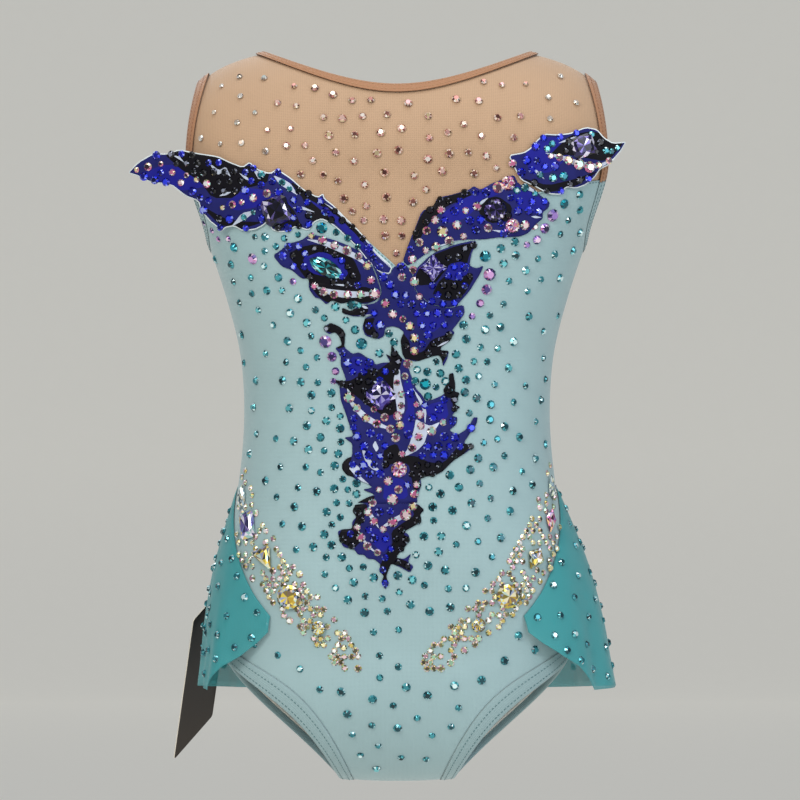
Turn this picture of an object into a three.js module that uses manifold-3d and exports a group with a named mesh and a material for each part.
// A child's sleeveless gymnastics competition leotard, standing in its worn shape.
// Millimetres, +Z up, the wearer faces -Y, origin at the centre of the waist.
import * as THREE from 'three';
import { mergeVertices } from 'three/addons/utils/BufferGeometryUtils.js';
import { ConvexGeometry } from 'three/addons/geometries/ConvexGeometry.js';
import Module from 'manifold-3d';

const wasm = await Module();
wasm.setup();

// ---- Driving dimensions of the garment ------------------------------------------------
const BODY_LENGTH = 510;        // crotch to the high point of the shoulder
const CHEST_WIDTH = 265;
const WAIST_WIDTH = 213;
const HIP_WIDTH = 244;
const SHOULDER_WIDTH = 306;     // width of the form at the armholes' centres
const CHEST_DEPTH = 164;        // front to back at the chest
const PATTERN = { length: 510, width: 265, depth: 164 };  // the size the pattern was drawn at

const CLOTH = 1.0;              // thickness of the stretch cloth
const BINDING_THICKNESS = 2.2;
const CLEARANCE = 0.4;          // gap between neighbouring layers and pieces
const APPLIQUE_THICKNESS = 0.8;
const LINING_THICKNESS = 0.8;
const ELASTIC_THICKNESS = 0.8;
const SKIRT_THICKNESS = 0.8;

const NECK_HALF_WIDTH = 92;
const NECK_DEPTH = 60;          // how far the opening reaches in front of and behind the shoulder line
const NECK_BINDING_WIDTH = 7;
const ARMHOLE_HALF_WIDTH = 44;
const ARMHOLE_HALF_HEIGHT = 55;
const ARMHOLE_BINDING_WIDTH = 8;
const LEG_HALF_HEIGHT = 60;
const LEG_HALF_WIDTH = 56;
const LEG_BINDING_WIDTH = 8;
const ELASTIC_WIDTH = 4;
// How far each hem stands off the hips at the side, and both of them behind.
const SKIRT_FLARE = { left: 16, right: 28, back: 20 };
const TAG_WIDTH = 60;
const TAG_HEIGHT = 126;
const TAG_THICKNESS = 0.7;
const TAG_HOLE_RADIUS = 2;
const TAG_HOLE_INSET = 8;
const FILAMENT_RADIUS = 0.45;
const FILAMENT_REACH = 9;       // skirt to card, along the filament
const FILAMENT_DROP = 5;        // how much lower it ends at the card
const FILAMENT_PLAY = 0.9;      // gap round the filament in the skirt's hole

// ---- The wearer's form ----------------------------------------------------------------
const deep = CHEST_DEPTH / PATTERN.depth;
const tall = BODY_LENGTH / PATTERN.length;
const wide = CHEST_WIDTH / PATTERN.width;
const WAIST_HEIGHT = 266 * tall;             // above the crotch
const up = (height) => height * tall - WAIST_HEIGHT;

// Each ring: height, half-width, depth in front, depth behind, squareness of its section.
const RINGS = [
  [85, 0.498 * HIP_WIDTH, 74, 86, 2.5],
  [110, HIP_WIDTH / 2, 77, 90, 2.5],
  [150, 0.49 * HIP_WIDTH, 82, 85, 2.45],
  [196, 0.526 * WAIST_WIDTH, 82, 71, 2.4],
  [232, 0.505 * WAIST_WIDTH, 79.5, 63, 2.4],
  [266, WAIST_WIDTH / 2, 77.5, 60, 2.4],
  [300, 0.514 * WAIST_WIDTH, 79, 64, 2.4],
  [336, 0.447 * CHEST_WIDTH, 83, 72, 2.5],
  [378, CHEST_WIDTH / 2, 86, 78, 2.7],
  [432, SHOULDER_WIDTH / 2, 81, 73, 3.3],
].map(([height, half, front, back, square]) => [up(height), half, front * deep, back * deep, square]);
const SEAT = RINGS[0];
const TOP = RINGS[RINGS.length - 1];
const CROTCH_DROP = 85 * tall;               // lowest ring to the crotch
const SHOULDER_RISE = 82 * tall;             // highest ring to the shoulder line
const SEAT_ROUND = 2;
const SHOULDER_ROUND = 1.9;

function ringAt(z) {
  // A smooth curve through the rings, level at both ends.
  const rings = RINGS;
  const last = rings.length - 1;
  if (z <= rings[0][0]) return rings[0].slice(1);
  if (z >= rings[last][0]) return rings[last].slice(1);
  let k = 0;
  while (z > rings[k + 1][0]) k += 1;
  const span = rings[k + 1][0] - rings[k][0];
  const t = (z - rings[k][0]) / span;
  const slope = (i, c) => {
    if (i === 0 || i === last) return 0;
    return (rings[i + 1][c] - rings[i - 1][c]) / (rings[i + 1][0] - rings[i - 1][0]);
  };
  return [1, 2, 3, 4].map((c) => {
    const [p, q] = [rings[k][c], rings[k + 1][c]];
    const [m, n] = [slope(k, c) * span, slope(k + 1, c) * span];
    return p * (2 * t ** 3 - 3 * t ** 2 + 1) + m * (t ** 3 - 2 * t ** 2 + t)
      + q * (3 * t ** 2 - 2 * t ** 3) + n * (t ** 3 - t ** 2);
  });
}

// Depth of the form at (x, z), for the front (side -1) or the back (side +1), grown by offset.
function depthAt(x, z, side, offset = 0) {
  const [half, front, back, square] = ringAt(z);
  const depth = (side < 0 ? front : back) + offset;
  const left = 1 - Math.abs(x / (half + offset)) ** square;
  if (left <= 0) return 0;
  let rise = 0;
  let round = SEAT_ROUND;
  if (z > TOP[0]) {
    rise = (z - TOP[0]) / (SHOULDER_RISE + offset);
    round = SHOULDER_ROUND;
  } else if (z < SEAT[0]) {
    rise = (SEAT[0] - z) / (CROTCH_DROP + offset);
  } else {
    round = square;
  }
  const rest = left ** (round / square) - rise ** round;
  return rest > 0 ? side * depth * rest ** (1 / round) : 0;
}

// The form's cloth is made of straight facets between these heights.
const RISE_STEPS = 14;
const riseHeight = (k) => SEAT[0] + (TOP[0] - SEAT[0]) * (k / RISE_STEPS);

function facetRing(z) {
  const steps = THREE.MathUtils.clamp((z - SEAT[0]) / (TOP[0] - SEAT[0]), 0, 1) * RISE_STEPS;
  const k = Math.min(Math.floor(steps), RISE_STEPS - 1);
  const upper = ringAt(riseHeight(k + 1));
  return ringAt(riseHeight(k)).map((value, c) => THREE.MathUtils.lerp(value, upper[c], steps - k));
}

// A point off facet ring z at an angle round the body: 0 in front, 90 at the side, 180 behind.
function aroundBody(degrees, z, offset, sideSign) {
  const [half, front, back, square] = facetRing(z);
  const angle = THREE.MathUtils.degToRad(degrees);
  const [s, c] = [Math.sin(angle), Math.cos(angle)];
  const depth = (c > 0 ? front : back) + offset;
  const x = sideSign * (half + offset) * Math.abs(s) ** (2 / square);
  const y = -Math.sign(c) * depth * Math.abs(c) ** (2 / square);
  return new THREE.Vector3(x, y, z);
}

// ---- Solids ---------------------------------------------------------------------------
function toSolid(geometry) {
  const bare = geometry.clone();
  bare.deleteAttribute('normal');
  bare.deleteAttribute('uv');
  const merged = mergeVertices(bare, 1e-4);
  const index = Array.from(merged.index.array);
  const tris = [];
  for (let i = 0; i < index.length; i += 3) {
    const [a, b, c] = index.slice(i, i + 3);
    if (a !== b && b !== c && c !== a) tris.push(a, b, c);
  }
  return new wasm.Manifold(new wasm.Mesh({
    numProp: 3,
    vertProperties: new Float32Array(merged.attributes.position.array),
    triVerts: new Uint32Array(tris),
  }));
}

function toGeometry(solid) {
  const mesh = solid.getMesh();
  const geometry = new THREE.BufferGeometry();
  geometry.setAttribute('position', new THREE.BufferAttribute(new Float32Array(mesh.vertProperties), 3));
  geometry.setIndex(Array.from(mesh.triVerts));
  geometry.computeVertexNormals();
  return geometry;
}

function fromTriangles(points, tris) {
  const geometry = new THREE.BufferGeometry();
  const numbers = points.flatMap((p) => [p.x, p.y, p.z]);
  geometry.setAttribute('position', new THREE.Float32BufferAttribute(numbers, 3));
  geometry.setIndex(tris);
  return geometry;
}

// The closed form grown by offset: arcs from side to side, stepped up the front, over the
// shoulders, down the back and through the crotch.
function formSolid(offset) {
  const ARC_STEPS = 20;
  const SEAT_STEPS = 5;
  const SHOULDER_STEPS = 6;
  const arcs = [];
  const addArc = (half, square, place) => {
    const arc = [];
    for (let j = 0; j <= ARC_STEPS; j += 1) {
      const angle = Math.PI * (j / ARC_STEPS - 0.5);
      const s = Math.sin(angle);
      const atSide = j === 0 || j === ARC_STEPS;
      const x = Math.sign(s) * half * (atSide ? 1 : Math.abs(s) ** (2 / square));
      const reach = atSide ? 0 : Math.cos(angle) ** (2 / square);
      arc.push(place(x, reach));
    }
    arcs.push(arc);
  };
  const addFan = (ring, drop, round, from, to, steps) => {
    for (let i = 1; i < steps; i += 1) {
      const turn = from + (to - from) * (i / steps);
      const [c, s] = [Math.cos(turn), Math.sin(turn)];
      const depth = (c < 0 ? ring[2] : ring[3]) + offset;
      const y = Math.sign(c) * depth * Math.abs(c) ** (2 / round);
      const z = Math.sign(s) * (drop + offset) * Math.abs(s) ** (2 / round);
      addArc(ring[1] + offset, ring[4], (x, reach) => new THREE.Vector3(x, y * reach, ring[0] + z * reach));
    }
  };
  const addRise = (side, k) => {
    const z = riseHeight(k);
    const [half, front, back, square] = ringAt(z);
    const depth = (side < 0 ? front : back) + offset;
    addArc(half + offset, square, (x, reach) => new THREE.Vector3(x, side * depth * reach, z));
  };
  for (let k = 0; k <= RISE_STEPS; k += 1) addRise(-1, k);
  addFan(TOP, SHOULDER_RISE, SHOULDER_ROUND, Math.PI, 0, SHOULDER_STEPS * 2);
  for (let k = RISE_STEPS; k >= 0; k -= 1) addRise(1, k);
  addFan(SEAT, CROTCH_DROP, SEAT_ROUND, 2 * Math.PI, Math.PI, SEAT_STEPS * 2);
  const points = arcs.flat();
  const row = ARC_STEPS + 1;
  const tris = [];
  arcs.forEach((_, i) => {
    const next = (i + 1) % arcs.length;
    for (let j = 0; j < ARC_STEPS; j += 1) {
      const [a, b, c, d] = [i * row + j, i * row + j + 1, next * row + j + 1, next * row + j];
      tris.push(a, b, c, a, c, d);
    }
  });
  return toSolid(fromTriangles(points, tris));
}

const layer = (inner, outer) => formSolid(outer).subtract(formSolid(inner));

// A straight-sided solid: an outline of [x, z] points carried along Y from y0 to y1.
function prism(outline, y0, y1) {
  const shape = new THREE.Shape(outline.map(([x, z]) => new THREE.Vector2(x, z)));
  const geometry = new THREE.ExtrudeGeometry(shape, { depth: y1 - y0, bevelEnabled: false });
  geometry.rotateX(Math.PI / 2);
  geometry.translate(0, y1, 0);
  return toSolid(geometry);
}

function box(x0, x1, y0, y1, z0, z1) {
  const geometry = new THREE.BoxGeometry(x1 - x0, y1 - y0, z1 - z0);
  geometry.translate((x0 + x1) / 2, (y0 + y1) / 2, (z0 + z1) / 2);
  return toSolid(geometry);
}

// An elliptic cylinder: radius ru along `across`, rv along the third direction.
function ellipticRod(centre, axis, across, ru, rv, start, end) {
  const shape = new THREE.Shape();
  shape.absellipse(0, 0, ru, rv, 0, Math.PI * 2);
  const options = { depth: end - start, bevelEnabled: false, curveSegments: 14 };
  const geometry = new THREE.ExtrudeGeometry(shape, options);
  const third = new THREE.Vector3().crossVectors(axis, across);
  const basis = new THREE.Matrix4().makeBasis(across, third, axis);
  geometry.translate(0, 0, start);
  geometry.applyMatrix4(basis);
  geometry.translate(centre.x, centre.y, centre.z);
  return toSolid(geometry);
}

// A sheet of even thickness through a grid of points.
function sheetSolid(grid, thickness) {
  const rows = grid.length;
  const columns = grid[0].length;
  const step = new THREE.Vector3();
  const cross = new THREE.Vector3();
  const normalAt = (i, j) => {
    step.subVectors(grid[Math.min(i + 1, rows - 1)][j], grid[Math.max(i - 1, 0)][j]);
    cross.subVectors(grid[i][Math.min(j + 1, columns - 1)], grid[i][Math.max(j - 1, 0)]);
    return new THREE.Vector3().crossVectors(step, cross).normalize().multiplyScalar(thickness / 2);
  };
  const faces = [1, -1].map((sign) => grid.map((line, i) => line.map(
    (p, j) => p.clone().addScaledVector(normalAt(i, j), sign),
  )));
  const points = faces.flat(2);
  const at = (face, i, j) => face * rows * columns + i * columns + j;
  const tris = [];
  const quad = (a, b, c, d) => tris.push(a, b, c, a, c, d);
  for (let i = 0; i < rows - 1; i += 1) {
    for (let j = 0; j < columns - 1; j += 1) {
      quad(at(0, i, j), at(0, i + 1, j), at(0, i + 1, j + 1), at(0, i, j + 1));
      quad(at(1, i, j), at(1, i, j + 1), at(1, i + 1, j + 1), at(1, i + 1, j));
    }
  }
  for (let i = 0; i < rows - 1; i += 1) {
    quad(at(0, i, 0), at(1, i, 0), at(1, i + 1, 0), at(0, i + 1, 0));
    quad(at(0, i + 1, columns - 1), at(1, i + 1, columns - 1), at(1, i, columns - 1), at(0, i, columns - 1));
  }
  for (let j = 0; j < columns - 1; j += 1) {
    quad(at(0, 0, j + 1), at(1, 0, j + 1), at(1, 0, j), at(0, 0, j));
    quad(at(0, rows - 1, j), at(1, rows - 1, j), at(1, rows - 1, j + 1), at(0, rows - 1, j + 1));
  }
  return toSolid(fromTriangles(points, tris));
}

// ---- Cutters, all grown by `grow` from the finished edge --------------------------------
const X = new THREE.Vector3(1, 0, 0);
const Z = new THREE.Vector3(0, 0, 1);
const BIG = 400 * Math.max(tall, wide, 1);
const NECK_GROW_SHARE = 0.75;   // the neck's rim is steeper in front than at the shoulder
const ARMHOLE_FROM = 95;        // half-width inside which the armhole's cut doesn't reach
const LEG_CENTRE = { x: 82, height: 45 };
const LEG_SLANT = { across: 0.66, up: 0.75 };   // direction from the crotch to the hip along the leg edge
const LEG_CUT_START = -40;

const neckCutter = (grow) => {
  const centre = new THREE.Vector3(0, 0, TOP[0]);
  const [broad, deepness] = [NECK_HALF_WIDTH * wide + grow, NECK_DEPTH * deep + grow * NECK_GROW_SHARE];
  return ellipticRod(centre, Z, X, broad, deepness, 0, BIG);
};

const armCutter = (side, grow) => {
  const start = new THREE.Vector3(side * ARMHOLE_FROM * wide, 0, TOP[0]);
  const outward = new THREE.Vector3(side, 0, 0);
  const [high, broad] = [ARMHOLE_HALF_HEIGHT * tall + grow, ARMHOLE_HALF_WIDTH * deep + grow];
  return ellipticRod(start, outward, Z, high, broad, 0, BIG);
};

const legCutter = (side, grow) => {
  const [slantX, slantZ] = [LEG_SLANT.across * wide, LEG_SLANT.up * tall];
  const axis = new THREE.Vector3(side * slantZ, 0, -slantX).normalize();
  const across = new THREE.Vector3(side * slantX, 0, slantZ).normalize();
  const centre = new THREE.Vector3(side * LEG_CENTRE.x * wide, 0, up(LEG_CENTRE.height));
  const high = LEG_HALF_HEIGHT * Math.hypot(slantX, slantZ) + grow;
  return ellipticRod(centre, axis, across, high, LEG_HALF_WIDTH * deep + grow, LEG_CUT_START, BIG);
};

// Everything above the yoke seam, in front and behind, moved up by `raise`.
const FRONT_SEAM = [[0, 92], [30, 119], [75, 139], [135, 152], [200, 160]];
const BACK_SEAM = [[0, 106], [45, 111], [90, 126], [135, 149], [200, 165]];
function aboveSeam(raise) {
  const outline = (seam) => {
    const edge = seam.map(([x, z]) => [x * wide, z * tall + raise]);
    const mirrored = edge.slice(1).reverse().map(([x, z]) => [-x, z]);
    return [...mirrored, ...edge, [BIG, edge[4][1]], [BIG, BIG], [-BIG, BIG], [-BIG, edge[4][1]]];
  };
  return prism(outline(FRONT_SEAM), -BIG, 0).add(prism(outline(BACK_SEAM), 0, BIG));
}

const half = {
  front: box(-BIG, BIG, -BIG, -CLEARANCE / 2, -BIG, BIG),
  back: box(-BIG, BIG, CLEARANCE / 2, BIG, -BIG, BIG),
};
const bothSides = (cutter, grow) => cutter(-1, grow).add(cutter(1, grow));

// ---- Materials --------------------------------------------------------------------------
const finish = (color, roughness, metalness = 0, opacity = 1) => new THREE.MeshStandardMaterial({
  color, roughness, metalness, opacity, transparent: opacity < 1,
});
const MATERIALS = {
  aqua: finish('#9fbfc2', 0.55),
  mesh: finish('#c9a283', 0.7),
  nudeBinding: finish('#a3745a', 0.6),
  lining: finish('#d9d3c6', 0.8),
  elastic: finish('#e8e6e0', 0.7),
  skirt: finish('#5fada6', 0.6, 0, 0.7),
  print: finish('#25288a', 0.5),
  crystal: finish('#cdbfd6', 0.1, 0.6),
  nylon: finish('#e4e4e0', 0.3),
  card: finish('#2b2625', 0.6),
};

const leotard = new THREE.Group();
function addPart(name, geometry, material) {
  const mesh = new THREE.Mesh(geometry, material);
  mesh.name = name;
  leotard.add(mesh);
  return mesh;
}
const addSolid = (name, solid, material) => addPart(name, toGeometry(solid), material);

// ---- Body panels and yokes ----------------------------------------------------------------
const cloth = layer(-CLOTH / 2, CLOTH / 2);
const openCloth = cloth
  .subtract(neckCutter(NECK_BINDING_WIDTH + CLEARANCE))
  .subtract(bothSides(armCutter, ARMHOLE_BINDING_WIDTH + CLEARANCE))
  .subtract(bothSides(legCutter, LEG_BINDING_WIDTH + CLEARANCE));
const yokeRegion = aboveSeam(CLEARANCE / 2);
const bodyRegion = aboveSeam(-CLEARANCE / 2);
for (const face of ['front', 'back']) {
  addSolid(`${face}_body_panel`, openCloth.subtract(bodyRegion).intersect(half[face]), MATERIALS.aqua);
  addSolid(`${face}_yoke`, openCloth.intersect(yokeRegion).intersect(half[face]), MATERIALS.mesh);
}

// ---- Bindings: a folded strip round each opening --------------------------------------------
const bindingLayer = layer(-BINDING_THICKNESS / 2, BINDING_THICKNESS / 2);
addSolid('neck_binding', bindingLayer.intersect(neckCutter(NECK_BINDING_WIDTH)).subtract(neckCutter(0)),
  MATERIALS.nudeBinding);

const elasticOuter = -BINDING_THICKNESS / 2 - CLEARANCE;
const elasticLayer = layer(elasticOuter - ELASTIC_THICKNESS, elasticOuter);
const elasticInset = (LEG_BINDING_WIDTH - ELASTIC_WIDTH) / 2;
for (const [name, side] of [['left', -1], ['right', 1]]) {
  const armRing = bindingLayer.intersect(armCutter(side, ARMHOLE_BINDING_WIDTH)).subtract(armCutter(side, 0));
  addSolid(`${name}_armhole_binding_upper`, armRing.intersect(yokeRegion), MATERIALS.nudeBinding);
  addSolid(`${name}_armhole_binding_lower`, armRing.subtract(bodyRegion), MATERIALS.aqua);
  addSolid(`${name}_leg_binding`,
    bindingLayer.intersect(legCutter(side, LEG_BINDING_WIDTH)).subtract(legCutter(side, 0)), MATERIALS.aqua);
  addSolid(`${name}_leg_elastic`, elasticLayer.intersect(legCutter(side, elasticInset + ELASTIC_WIDTH))
    .subtract(legCutter(side, elasticInset)), MATERIALS.elastic);
}

// ---- Crotch lining, inside the cloth ----------------------------------------------------------
const LINING_TOP = 62;
const LINING_MARGIN = 5;
const liningOuter = -CLOTH / 2 - CLEARANCE;
addSolid('crotch_lining', layer(liningOuter - LINING_THICKNESS, liningOuter)
  .intersect(box(-BIG, BIG, -BIG, BIG, -BIG, up(LINING_TOP)))
  .subtract(bothSides(legCutter, LEG_BINDING_WIDTH + LINING_MARGIN)), MATERIALS.lining);

// ---- Skirt: two translucent sheets, open in front, meeting behind -------------------------------
// Points are [degrees round the body, height]; the hem's third value is its share of the flare.
const SKIRT_SEAM = [[41, -150], [51, -134], [64, -110], [78, -86], [92, -64], [110, -52], [140, -56],
  [180, -68]];
const SKIRT_HEM = [[41, -161, 0.15], [46, -169, 0.3], [53, -178, 0.5], [61, -185, 0.7], [72, -202, 0.85],
  [92, -200, 1], [130, -203, 1], [180, -206, 1]];
const SKIRT_OFFSET = CLOTH / 2 + CLEARANCE + SKIRT_THICKNESS / 2;
const BELL = 0.8;               // below 1 the skirt springs out near its seam

function alongTable(table, degrees, column) {
  let k = 0;
  while (k < table.length - 2 && degrees > table[k + 1][0]) k += 1;
  const t = THREE.MathUtils.clamp((degrees - table[k][0]) / (table[k + 1][0] - table[k][0]), 0, 1);
  return THREE.MathUtils.lerp(table[k][column], table[k + 1][column], t);
}

// How much further out, level, a sheet stands where the body widens, to keep the same gap.
const hipSlant = (z) => Math.hypot(1, (facetRing(z + 1)[0] - facetRing(z - 1)[0]) / 2);

function skirtPoint(sideSign, degrees, fall) {
  const top = alongTable(SKIRT_SEAM, degrees, 1) * tall;
  const hem = alongTable(SKIRT_HEM, degrees, 1) * tall;
  const behind = THREE.MathUtils.smoothstep(degrees, 100, 180);
  const flare = THREE.MathUtils.lerp(SKIRT_FLARE[sideSign < 0 ? 'left' : 'right'], SKIRT_FLARE.back, behind);
  const z = THREE.MathUtils.lerp(top, hem, fall);
  const stand = SKIRT_OFFSET * hipSlant(z) + flare * alongTable(SKIRT_HEM, degrees, 2) * fall ** BELL;
  return aroundBody(degrees, z, stand, sideSign);
}

function skirtGrid(sideSign) {
  const COLUMNS = 28;
  const ROWS = 9;
  const FRONT_END = 41;
  const BACK_END = 179.95;
  const grid = [];
  for (let i = 0; i <= COLUMNS; i += 1) {
    const degrees = FRONT_END + (BACK_END - FRONT_END) * (i / COLUMNS);
    const line = [];
    for (let j = 0; j <= ROWS; j += 1) line.push(skirtPoint(sideSign, degrees, j / ROWS));
    grid.push(sideSign < 0 ? line : line.reverse());
  }
  return grid;
}

// Where the tag's fastener goes through the left skirt.
const TAG_AROUND = 124;
const TAG_FALL = 0.53;
const pierce = skirtPoint(-1, TAG_AROUND, TAG_FALL);
const pierceAlong = skirtPoint(-1, TAG_AROUND + 1, TAG_FALL).sub(pierce).setZ(0).normalize();
const pierceDown = skirtPoint(-1, TAG_AROUND, TAG_FALL + 0.02).sub(pierce).normalize();
const pierceOut = new THREE.Vector3().crossVectors(pierceAlong, pierceDown).normalize();
if (pierceOut.x > 0) pierceOut.negate();
const PIERCE_RADIUS = FILAMENT_RADIUS + FILAMENT_PLAY;
const PIERCE_REACH = 3;
const pierceHole = ellipticRod(pierce, pierceOut, pierceAlong, PIERCE_RADIUS, PIERCE_RADIUS,
  -PIERCE_REACH, PIERCE_REACH);
for (const [name, side] of [['left', -1], ['right', 1]]) {
  const sheet = sheetSolid(skirtGrid(side), SKIRT_THICKNESS);
  addSolid(`skirt_${name}`, side < 0 ? sheet.subtract(pierceHole) : sheet, MATERIALS.skirt);
}

// ---- Printed appliques, a little proud of the body ------------------------------------------------
const APPLIQUE_INNER = BINDING_THICKNESS / 2 + CLEARANCE;
const APPLIQUE_OUTER = APPLIQUE_INNER + APPLIQUE_THICKNESS;
const appliqueLayer = layer(APPLIQUE_INNER, APPLIQUE_OUTER).intersect(half.front);
const grade = (outline) => outline.map(([x, z]) => [x * wide, z * tall]);

const FLAT_APPLIQUES = {
  left_leaf: [[-89, 100], [-80, 106], [-64, 112], [-51, 108], [-33, 103], [-21, 92.5], [-14, 75], [-19, 60],
    [-36, 61.5], [-50, 69], [-61, 80], [-73, 90]],
  right_leaf: [[11, 88.5], [24, 101], [44, 108.3], [54, 109.5], [59, 90], [51, 79], [45, 70], [37, 64],
    [12, 74]],
  right_feather: [[4, 96], [16, 127], [27, 138], [38, 143.5], [53, 146], [74, 153], [81, 156], [84, 149.5],
    [94, 144.5], [99, 141], [105, 136], [101, 129], [92, 117], [84, 113.5], [69, 114], [53, 113], [44, 111],
    [24, 104], [8, 92.5]],
  spine: [[-20, 58], [-12, 73], [-2, 90], [10, 86], [11, 72.5], [36, 62.5], [45, 58.5], [37, 41], [14, 36],
    [6, 29.5], [-1, 34], [-14, 43], [-22, 46], [-21, 54]],
  belly: [[-45, 48], [-39, 47.5], [-36, 33], [-22, 31], [-6, 26.5], [6, 28], [20, 29], [17, 12], [22, -3.5],
    [30, 1], [37, 0.5], [39, -4], [45, -24], [30, -51], [17, -52], [14, -71], [-28, -71], [-31, -44],
    [-34, -24.5], [-38, 0], [-40, 14], [-38, 31]],
  tail: [[-29, -72], [15, -72], [18, -76], [15, -86], [8, -92], [8, -98], [-2, -110], [9, -116], [-7, -118],
    [-8, -129], [-12, -117], [-27, -105], [-40, -99], [-41, -90], [-31, -88], [-29, -81]],
};
for (const [name, outline] of Object.entries(FLAT_APPLIQUES)) {
  const shape = prism(grade(outline), -BIG, -CLEARANCE);
  addSolid(`applique_${name}`, appliqueLayer.intersect(shape), MATERIALS.print);
}

// The two wings follow the chest and then run out straight past the armholes.
const WINGS = {
  left: [[-187, 160], [-172, 170.5], [-150, 173.5], [-134, 169.5], [-110, 160], [-89, 160], [-75, 151.5],
    [-52, 142], [-33, 118], [-12, 97], [-4, 93], [-15, 92], [-21, 94], [-33, 105], [-51, 110], [-62, 118],
    [-73, 117], [-89, 123], [-106, 117.5], [-121, 117], [-138, 129.5], [-148, 150], [-172, 152.5]],
  right: [[78, 169], [92, 174], [99, 181], [113, 183.5], [124, 188], [137, 189], [143.5, 182], [150.5, 178],
    [160, 178.5], [148, 162], [125, 146], [115, 141], [101.5, 143.5], [96, 147], [87, 152], [83, 159]],
};
const WING_LEAVES = 108;        // half-width where a wing leaves the chest
const WING_SLOPE = 0.4;
function wingSheet(side, offset) {
  const X_STEPS = 14;
  const Z_STEPS = 7;
  const reach = 195 * wide;
  const [low, high] = [84 * tall, 194 * tall];
  const grid = [];
  for (let i = 0; i <= X_STEPS; i += 1) {
    const line = [];
    const x = reach * (i / X_STEPS);
    for (let j = 0; j <= Z_STEPS; j += 1) {
      const z = low + (high - low) * (j / Z_STEPS);
      const onChest = Math.min(x, WING_LEAVES * wide);
      const y = depthAt(onChest, z, -1, offset) + WING_SLOPE * deep / wide * (x - onChest);
      line.push(new THREE.Vector3(side * x, y, z));
    }
    grid.push(side > 0 ? line : line.reverse());
  }
  return sheetSolid(grid, APPLIQUE_THICKNESS);
}
for (const [name, side] of [['left', -1], ['right', 1]]) {
  const sheet = wingSheet(side, (APPLIQUE_INNER + APPLIQUE_OUTER) / 2);
  addSolid(`applique_${name}_wing`, sheet.intersect(prism(grade(WINGS[name]), -BIG, BIG)), MATERIALS.print);
}

// ---- Large sewn-on crystals ------------------------------------------------------------------------
// Each: name, x (on the hips its share of the half-width), z, width, height, turn in degrees, sides, seat.
const CRYSTALS = [
  ['left_hip_drop', -0.968, -66.5, 8, 17, 0, 4, 'hip'],
  ['left_hip_square', -0.905, -87, 12, 19, 12, 4, 'hip'],
  ['left_hip_trilliant', -0.774, -111, 13, 19, 30, 3, 'hip'],
  ['left_hip_rivoli', -0.618, -136.5, 17, 17, 0, 10, 'cloth'],
  ['left_hip_small_rivoli', -0.447, -158, 10, 10, 0, 8, 'cloth'],
  ['right_hip_drop', 0.977, -60, 8, 16, 0, 4, 'hip'],
  ['right_hip_kite', 0.936, -84, 10, 18, -12, 4, 'hip'],
  ['right_hip_trilliant', 0.808, -110, 14, 18, -30, 4, 'hip'],
  ['right_hip_rivoli', 0.635, -136, 17, 17, 0, 10, 'cloth'],
  ['right_hip_small_rivoli', 0.463, -156, 10, 10, 0, 8, 'cloth'],
  ['left_wing_square', -83.5, 131, 19, 19, 20, 8, 'applique'],
  ['left_leaf_navette', -49, 91.5, 26, 12, -28, 8, 'applique'],
  ['right_wing_rivoli', 68, 131.5, 15.5, 15.5, 0, 10, 'applique'],
  ['right_wing_round', 80, 120.5, 10, 10, 0, 8, 'applique'],
  ['right_wing_upper_round', 77, 150, 10, 10, 0, 8, 'wing'],
  ['right_tip_stone', 129, 176, 17, 15, 20, 8, 'wing'],
  ['right_leaf_star', 25, 91.5, 20, 20, 0, 8, 'applique'],
  ['belly_square', -11, 3.5, 17, 17, 40, 8, 'applique'],
  ['belly_round', 1.5, -48, 11, 11, 0, 8, 'applique'],
];
const HIP_STONE_GAP = 0.9;
const WING_STONE_GAP = 0.6;
const STAND = {
  cloth: CLOTH / 2 + 0.5,
  hip: SKIRT_OFFSET + SKIRT_THICKNESS / 2 + HIP_STONE_GAP,
  applique: APPLIQUE_OUTER + WING_STONE_GAP,
};

function crystalGeometry(width, height, sides) {
  const points = [];
  const girdle = Math.min(width, height);
  const level = (share, z) => {
    for (let i = 0; i < sides; i += 1) {
      const angle = (i / sides) * Math.PI * 2 + Math.PI / 2;
      const [x, y] = [Math.cos(angle) * width / 2, Math.sin(angle) * height / 2];
      points.push(new THREE.Vector3(x * share, y * share, z));
    }
  };
  level(0.96, 0);
  level(1, girdle * 0.09);
  level(0.42, girdle * 0.3);
  return new ConvexGeometry(points);
}

function frontNormal(x, z, offset) {
  const e = 0.5;
  const dx = (depthAt(x + e, z, -1, offset) - depthAt(x - e, z, -1, offset)) / (2 * e);
  const dz = (depthAt(x, z + e, -1, offset) - depthAt(x, z - e, -1, offset)) / (2 * e);
  return new THREE.Vector3(dx, -1, dz).normalize();
}

for (const [name, x0, z0, width, height, turn, sides, seat] of CRYSTALS) {
  const mesh = addPart(`crystal_${name}`, crystalGeometry(width, height, sides), MATERIALS.crystal);
  const z = z0 * tall;
  const onWing = seat === 'wing';
  const x = x0 * (onWing || seat === 'applique' ? wide : ringAt(z)[0]);
  const base = onWing ? Math.sign(x) * WING_LEAVES * wide : x;
  const rest = STAND[onWing ? 'applique' : seat];
  const normal = frontNormal(base, z, APPLIQUE_OUTER);
  if (onWing) normal.set(Math.sign(x) * WING_SLOPE * deep / wide, -1, normal.z / -normal.y).normalize();
  const wingBack = WING_SLOPE * deep / wide * Math.abs(x - base);
  const y = depthAt(base, z, -1, onWing ? APPLIQUE_OUTER : rest) + wingBack;
  mesh.position.set(x, y, z).addScaledVector(normal, onWing ? WING_STONE_GAP : 0);
  const upward = Z.clone().addScaledVector(normal, -Z.dot(normal)).normalize();
  const across = new THREE.Vector3().crossVectors(upward, normal);
  mesh.quaternion.setFromRotationMatrix(new THREE.Matrix4().makeBasis(across, upward, normal));
  mesh.rotateZ(THREE.MathUtils.degToRad(turn));
}

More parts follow.
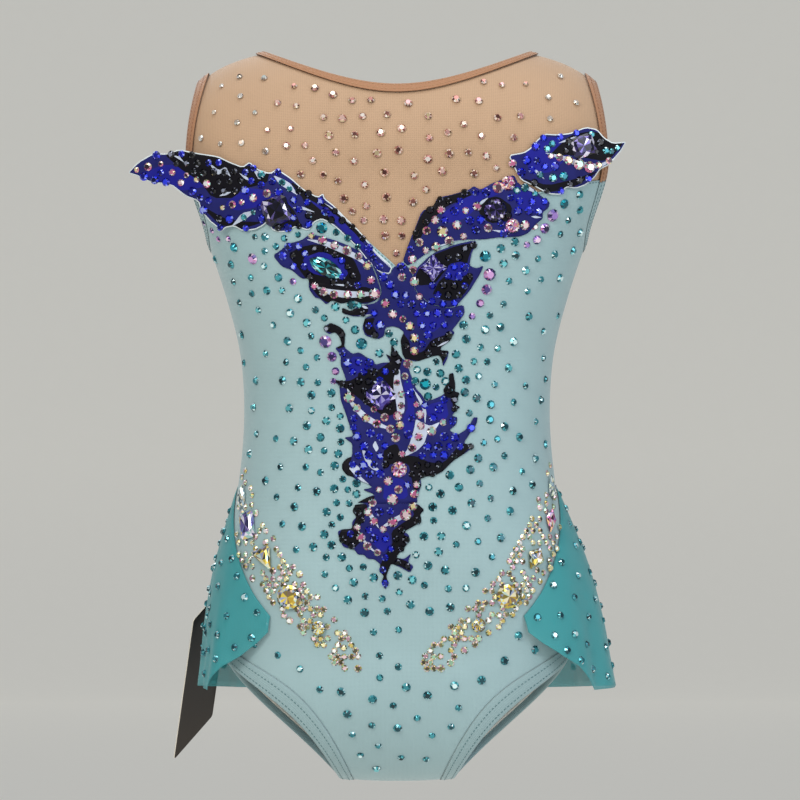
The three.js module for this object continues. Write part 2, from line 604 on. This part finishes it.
// ---- Hang tag on a nylon fastener -------------------------------------------------------------------
const TAG_TURN = THREE.MathUtils.degToRad(162);    // direction its outer face looks, round the vertical
const TAG_LEAN = THREE.MathUtils.degToRad(20.5);
const TAG_HANG = THREE.MathUtils.degToRad(-31.6);  // turned in its own plane, because it hangs by a corner
const tagOut = new THREE.Vector3(Math.cos(TAG_TURN), Math.sin(TAG_TURN), Math.tan(TAG_LEAN)).normalize();
const tagDown = Z.clone().negate().addScaledVector(tagOut, Z.dot(tagOut)).normalize();
tagDown.applyAxisAngle(tagOut, TAG_HANG);
const tagAcross = new THREE.Vector3().crossVectors(tagDown, tagOut);
const tagHole = pierce.clone().addScaledVector(pierceOut, FILAMENT_REACH * 0.5)
  .addScaledVector(tagOut, FILAMENT_REACH * 0.5).addScaledVector(Z, -FILAMENT_DROP);

const card = new THREE.Shape();
const [cardLeft, cardTop] = [TAG_HOLE_INSET - TAG_WIDTH, -TAG_HOLE_INSET];
card.moveTo(cardLeft, cardTop);
card.lineTo(TAG_HOLE_INSET, cardTop);
card.lineTo(TAG_HOLE_INSET, cardTop + TAG_HEIGHT);
card.lineTo(cardLeft, cardTop + TAG_HEIGHT);
card.closePath();
const punched = new THREE.Path();
punched.absarc(0, 0, TAG_HOLE_RADIUS, 0, Math.PI * 2);
card.holes.push(punched);
const cardOptions = { depth: TAG_THICKNESS, bevelEnabled: false, curveSegments: 8 };
const cardGeometry = new THREE.ExtrudeGeometry(card, cardOptions);
cardGeometry.translate(0, 0, -TAG_THICKNESS / 2);
const cardMesh = addPart('hang_tag', cardGeometry, MATERIALS.card);
cardMesh.position.copy(tagHole);
cardMesh.quaternion.setFromRotationMatrix(new THREE.Matrix4().makeBasis(tagAcross, tagDown, tagOut));

// The fastener: a cross-bar inside the skirt, a filament through both holes and a paddle outside.
const BAR_RADIUS = 0.7;
const BAR_LENGTH = 8;
const BAR_DEPTH = 2.2;
const PADDLE_STAND = 1.6;
const PADDLE_SIZE = [6, 3.2, 1];
const barCentre = pierce.clone().addScaledVector(pierceOut, -BAR_DEPTH);
const paddleCentre = tagHole.clone().addScaledVector(tagOut, PADDLE_STAND + PADDLE_SIZE[2] / 2);
const outsideSkirt = pierce.clone().addScaledVector(pierceOut, 1);
const behindCard = tagHole.clone().addScaledVector(tagOut, -0.8);
const filamentPath = new THREE.CatmullRomCurve3([barCentre, outsideSkirt, behindCard, paddleCentre]);
const roundSection = new THREE.Shape();
roundSection.absarc(0, 0, FILAMENT_RADIUS, 0, Math.PI * 2);
const filament = toSolid(new THREE.ExtrudeGeometry(roundSection, {
  steps: 10, curveSegments: 4, extrudePath: filamentPath,
}));
const bar = ellipticRod(barCentre, pierceAlong, pierceOut, BAR_RADIUS, BAR_RADIUS,
  -BAR_LENGTH / 2, BAR_LENGTH / 2);
const paddleGeometry = new THREE.BoxGeometry(...PADDLE_SIZE);
paddleGeometry.applyMatrix4(new THREE.Matrix4().makeBasis(tagAcross, tagDown, tagOut));
paddleGeometry.translate(paddleCentre.x, paddleCentre.y, paddleCentre.z);
addSolid('tag_fastener', filament.add(bar).add(toSolid(paddleGeometry)), MATERIALS.nylon);

export default leotard;
